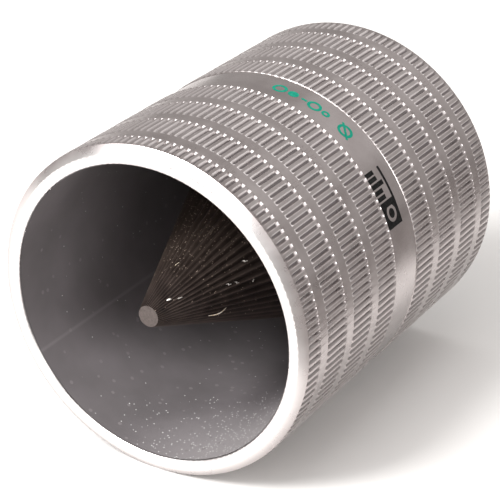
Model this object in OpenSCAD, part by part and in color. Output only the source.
// Hand deburring tool for pipes: a knurled barrel with a cutter in each end.
// It lies on its side: the barrel's axis runs along Y at the height of its radius,
// the mouth of the inside cutter faces -Y, and the outside cutter faces +Y.
// Depths are measured along the axis from the mouth of the inside cutter.

/* [Barrel] */
// Diameter over the knurled teeth
barrel_d = 70; // [66:0.5:80]
// Overall length
barrel_l = 82; // [78:0.5:100]
// Diameter of the bore at both ends
bore_d = 62; // [61:0.5:64]
// Length of the rib between the two bores
rib_l = 4; // [3:0.5:6]
// Diameter of the hole through the rib
rib_hole_d = 52; // [48:0.5:54]

/* [Knurl] */
// Straight teeth around the barrel
tooth_count = 138; // [60:2:180]
// Length of a knurled band
band_l = 7.6; // [6:0.1:8]
// Length of a plain ring between two bands
ring_l = 2.6; // [2:0.1:4]
// Length of the wide plain ring that carries the printing
label_l = 9.2; // [6:0.1:14]
// Height of the teeth above the plain rings
tooth_rise = 0.15; // [0.1:0.05:0.4]
// Depth of the grooves below the plain rings
groove_sink = 0.3; // [0.2:0.05:0.6]
// Depth of the wide ring below the plain rings
label_recess = 0.1; // [0.05:0.05:0.2]

/* [Rims] */
// Outer diameter of the flat face on each rim
rim_face_d = 66.2; // [64:0.1:68]
// Length of the outer chamfer behind that face
rim_chamfer_l = 1.3; // [0.5:0.1:2.5]
// Chamfer on the edge of each bore
bore_chamfer = 0.35; // [0.1:0.05:1]

/* [Inside cutter] */
// Cutting ribs around the cone
rib_count = 40; // [24:1:60]
// Diameter of the flat tip
tip_d = 4.54; // [3:0.1:8]
// Included angle of the cone over its cutting edges, degrees
cone_angle = 42.6; // [36:0.2:44]
// Length of the cone in front of its flange
cone_l = 62.5; // [60:0.5:63]
// Depth of the V between two ribs, as a part of the cone's radius there
rib_depth_ratio = 0.055; // [0.02:0.005:0.08]
// Thickness of the flange that centres the cone in the bore
cutter_flange_l = 3.5; // [3:0.1:5]

/* [Outside cutter] */
// Blades around the funnel
blade_count = 8; // [8:1:8]
// Included angle of the funnel, degrees
funnel_angle = 70; // [66:1:74]
// Diameter of the funnel's wide end
funnel_d = 57.2; // [56:0.1:58]
// Length of the holder's flange
holder_flange_l = 8; // [7.5:0.1:8]
// Thickness of a blade
blade_w = 2; // [1.5:0.1:2.5]
// Height of a blade's edge above the funnel wall
blade_proud = 0.9; // [0.5:0.1:1.2]
// Depth of a blade's slot in the funnel wall
blade_sink = 1.6; // [1:0.1:1.8]

/* [Fasteners] */
// Thread diameter of the clamp screw
screw_d = 6; // [5:1:6]
// Length of the clamp screw under its head
screw_l = 25; // [20:1:27]
// Thickness of the lock washer
washer_l = 1.6; // [1:0.1:2]
// Diameter of the key pins
pin_d = 3; // [2:0.5:3]
// Length of the key pins
pin_l = 10; // [8:0.5:10]
// Thickness of the retaining ring
snap_l = 1.8; // [1.5:0.1:2]

/* [Hidden] */

$fn = 96;
eps = 0.01;

barrel_r = barrel_d / 2;
bore_r = bore_d / 2;
ring_r = barrel_r - tooth_rise;
groove_r = ring_r - groove_sink;
rib_hole_r = rib_hole_d / 2;

// Eight bands: four on each side of the wide ring. The end bands take what length is left.
inner_bands = 3;
end_band_l = (barrel_l - label_l) / 2 - inner_bands * (band_l + ring_l);

// Inside cutter
cone_slope = tan(cone_angle / 2);
tip_r = tip_d / 2;
cone_r = tip_r + cone_slope * cone_l;
flange_r = bore_r - 0.05;
cutter_wall = 3;
cavity_start = 32;
cavity_offset = cutter_wall + 0.9 - tip_r;
recess_l = 2;
rib_start = cone_l + cutter_flange_l;
rib_end = rib_start + rib_l;

// Outside cutter
funnel_slope = tan(funnel_angle / 2);
funnel_r = funnel_d / 2;
holder_end = rib_end + holder_flange_l;
holder_nose_start = cavity_start + 0.5;
holder_step_r = rib_hole_r - 0.1;
cone_gap = 0.3;
step_start = rib_start - recess_l + cone_gap;

// Clamp screw
screw_r = screw_d / 2;
head_r = 5;
head_l = screw_d;
socket_flats = 5;
socket_l = 3.5;
pocket_r = head_r + 0.5;
funnel_start = holder_end - (funnel_r - pocket_r) / funnel_slope;
head_end = funnel_start;
head_start = head_end - head_l;
pocket_floor = head_start - washer_l;
thread_end = holder_nose_start - 0.5;
thread_start = head_start - screw_l - 2;

// Key pins
pin_circle_r = (rib_hole_r + bore_r) / 2;
pin_start = rib_start - cutter_flange_l + 0.5;
pin_angles = [90, 210, 330];
pin_gap = 0.02;

// Retaining ring
snap_start = holder_end;
snap_groove_r = bore_r + 1.4;
snap_outer_r = snap_groove_r - 0.1;
snap_inner_r = funnel_r - 1.1;
snap_gap_angle = 14;
snap_ear_r = 2.2;
snap_hole_r = 0.9;

barrel_color = "#a7a19b";
cutter_color = "#2b2523";
holder_color = "#4a4847";
blade_color = "#b9bcc0";
fastener_color = "#3a3a3c";

// Lays a shape built along +Z, its mouth at zero, on its side with its mouth towards -Y.
module lay() {
  translate([0, -barrel_l / 2, barrel_r]) rotate([-90, 0, 0]) children();
}

// Places a shape drawn as [radius, depth] as a solid of revolution around the axis.
module turned(outline) {
  rotate_extrude() polygon(outline);
}

// The depth of the funnel wall at a radius, and the radius at a depth.
function funnel_radius(depth) = funnel_r - funnel_slope * (holder_end - depth);

// One star outline: a crest and a valley for each tooth.
function star(count, crest_r, valley_r) = [
  for (i = [0 : 2 * count - 1])
    let (a = 180 * i / count, r = i % 2 == 0 ? crest_r : valley_r)
    [r * cos(a), r * sin(a)]
];

module knurled_band(start, length) {
  translate([0, 0, start]) linear_extrude(length) polygon(star(tooth_count, barrel_r, groove_r));
}

// The plain core at ring height between the bands, and the toothed bands themselves.
module barrel_stack() {
  pitch = band_l + ring_l;
  knurled_band(0, end_band_l);
  knurled_band(barrel_l - end_band_l, end_band_l);
  for (i = [0 : inner_bands - 1]) {
    front = end_band_l + i * pitch;
    back = barrel_l - front - ring_l;
    translate([0, 0, front]) cylinder(r = ring_r, h = ring_l);
    knurled_band(front + ring_l, band_l);
    translate([0, 0, back]) cylinder(r = ring_r, h = ring_l);
    knurled_band(back - band_l, band_l);
  }
  translate([0, 0, (barrel_l - label_l) / 2]) cylinder(r = ring_r - label_recess, h = label_l);
}

// The turned envelope that chamfers both rims.
module barrel_envelope() {
  rim_r = rim_face_d / 2;
  chamfer_slope = (barrel_r - rim_r) / rim_chamfer_l;
  over = 1;
  over_l = over / chamfer_slope;
  turned([
    [0, 0], [rim_r, 0],
    [barrel_r + over, rim_chamfer_l + over_l],
    [barrel_r + over, barrel_l - rim_chamfer_l - over_l],
    [rim_r, barrel_l], [0, barrel_l]
  ]);
}

// Everything turned out of the inside: both bores, the rib's hole and the ring groove.
module barrel_bores() {
  turned([
    [0, -1], [bore_r + bore_chamfer + 1, -1], [bore_r, bore_chamfer],
    [bore_r, rib_start], [rib_hole_r, rib_start], [rib_hole_r, rib_end], [bore_r, rib_end],
    [bore_r, snap_start], [snap_groove_r, snap_start],
    [snap_groove_r, snap_start + snap_l + 0.05], [bore_r, snap_start + snap_l + 0.05],
    [bore_r, barrel_l - bore_chamfer], [bore_r + bore_chamfer + 1, barrel_l + 1], [0, barrel_l + 1]
  ]);
}

module pin_holes() {
  for (a = pin_angles) rotate([0, 0, a])
    translate([pin_circle_r, 0, pin_start - 0.2]) cylinder(r = pin_d / 2 + pin_gap, h = pin_l + 0.4, $fn = 32);
}

module barrel() {
  color(barrel_color) lay() difference() {
    intersection() {
      barrel_stack();
      barrel_envelope();
    }
    barrel_bores();
    pin_holes();
  }
}

// Fluted cone over a star outline that shrinks evenly to the flat tip.
module fluted_cone() {
  translate([0, 0, cone_l]) mirror([0, 0, 1])
    linear_extrude(cone_l, scale = tip_r / cone_r)
      polygon(star(rib_count, cone_r, cone_r * (1 - rib_depth_ratio)));
}

module inside_cutter() {
  cavity_r = cone_slope * cavity_start - cavity_offset;
  cavity_end_r = cone_slope * (rib_start - recess_l) - cavity_offset;
  color(cutter_color) lay() difference() {
    union() {
      fluted_cone();
      translate([0, 0, cone_l - eps]) cylinder(r = flange_r, h = cutter_flange_l + eps);
    }
    turned([
      [0, cavity_start], [cavity_r, cavity_start], [cavity_end_r, rib_start - recess_l],
      [rib_hole_r, rib_start - recess_l], [rib_hole_r, rib_start + 1], [0, rib_start + 1]
    ]);
    translate([0, 0, thread_start]) cylinder(r = screw_r + 0.05, h = cavity_start - thread_start + 1);
    pin_holes();
  }
}

// Cross-section of a blade: its edge is ground back from one side.
module blade_section(extra) {
  half_w = blade_w / 2 + extra;
  foot = blade_sink + extra;
  relief = 0.45;
  polygon([[-half_w, foot], [half_w, foot], [half_w, -blade_proud + relief], [-half_w, -blade_proud]]);
}

// A bar along the funnel wall, cut off square with the axis at the holder's rear face.
module blade_bar(extra) {
  lead = 1.5;
  start = funnel_start + lead;
  bar_l = (holder_end - start) / cos(funnel_angle / 2) + 6;
  intersection() {
    translate([funnel_radius(start), 0, start]) rotate([0, funnel_angle / 2, 0])
      rotate([0, 0, -90]) linear_extrude(bar_l) blade_section(extra);
    cylinder(r = bore_r, h = holder_end + (extra > 0 ? 1 : 0));
  }
}

module blade(i) {
  color(blade_color) lay() rotate([0, 0, 360 * (i - 1) / blade_count + 22.5]) blade_bar(0);
}

module blade_holder() {
  cavity_start_r = cone_slope * holder_nose_start - cavity_offset - cone_gap;
  cavity_end_r = cone_slope * step_start - cavity_offset - cone_gap;
  color(holder_color) lay() difference() {
    turned([
      [0, holder_nose_start], [cavity_start_r, holder_nose_start], [cavity_end_r, step_start],
      [holder_step_r, step_start], [holder_step_r, rib_end], [flange_r, rib_end],
      [flange_r, holder_end], [funnel_r, holder_end], [pocket_r, funnel_start],
      [pocket_r, pocket_floor], [0, pocket_floor]
    ]);
    translate([0, 0, holder_nose_start - 1]) cylinder(r = screw_r + 0.3, h = pocket_floor - holder_nose_start + 2);
    for (i = [1 : blade_count]) rotate([0, 0, 360 * (i - 1) / blade_count + 22.5]) blade_bar(0.05);
    pin_holes();
  }
}

module clamp_screw() {
  socket_r = socket_flats / 2 / cos(30);
  color(fastener_color) lay() difference() {
    union() {
      translate([0, 0, head_start]) cylinder(r = head_r, h = head_l);
      translate([0, 0, head_start - screw_l]) cylinder(r = screw_r, h = screw_l + eps);
    }
    translate([0, 0, head_end - socket_l]) cylinder(r = socket_r, h = socket_l + 1, $fn = 6);
  }
}

// Split spring washer: a flat ring with a narrow slanted cut.
module lock_washer() {
  cut_w = 0.8;
  color(fastener_color) lay() difference() {
    translate([0, 0, pocket_floor]) cylinder(r = head_r - 0.1, h = washer_l);
    translate([0, 0, pocket_floor - 1]) cylinder(r = screw_r + 0.2, h = washer_l + 2);
    translate([head_r / 2 + 1.5, 0, pocket_floor + washer_l / 2]) rotate([25, 0, 0])
      cube([head_r, cut_w, 3 * washer_l], center = true);
  }
}

module key_pin(a) {
  color(fastener_color) lay() rotate([0, 0, a]) translate([pin_circle_r, 0, pin_start])
    cylinder(r = pin_d / 2, h = pin_l, $fn = 32);
}

// Internal ring with a gap and two ears that take the points of ring pliers.
module retaining_ring() {
  ear_circle_r = snap_inner_r + 0.4;
  ear_angle = snap_gap_angle / 2 + 4.5;
  color(fastener_color) lay() translate([0, 0, snap_start]) difference() {
    union() {
      difference() {
        cylinder(r = snap_outer_r, h = snap_l);
        translate([0, 0, -1]) cylinder(r = snap_inner_r, h = snap_l + 2);
        translate([0, 0, -1]) linear_extrude(snap_l + 2) polygon([
          [0, 0],
          for (s = [-1, 1]) 2 * snap_outer_r * [sin(s * snap_gap_angle / 2), -cos(s * snap_gap_angle / 2)]
        ]);
      }
      for (s = [-1, 1]) rotate([0, 0, s * ear_angle])
        translate([0, -ear_circle_r, 0]) cylinder(r = snap_ear_r, h = snap_l, $fn = 48);
    }
    for (s = [-1, 1]) rotate([0, 0, s * ear_angle])
      translate([0, -ear_circle_r, -1]) cylinder(r = snap_hole_r, h = snap_l + 2, $fn = 32);
  }
}

barrel();
inside_cutter();
blade_holder();
blade(1);  // blade_1
blade(2);  // blade_2
blade(3);  // blade_3
blade(4);  // blade_4
blade(5);  // blade_5
blade(6);  // blade_6
blade(7);  // blade_7
blade(8);  // blade_8
clamp_screw();
lock_washer();
key_pin(pin_angles[0]);  // key_pin_1
key_pin(pin_angles[1]);  // key_pin_2
key_pin(pin_angles[2]);  // key_pin_3
retaining_ring();
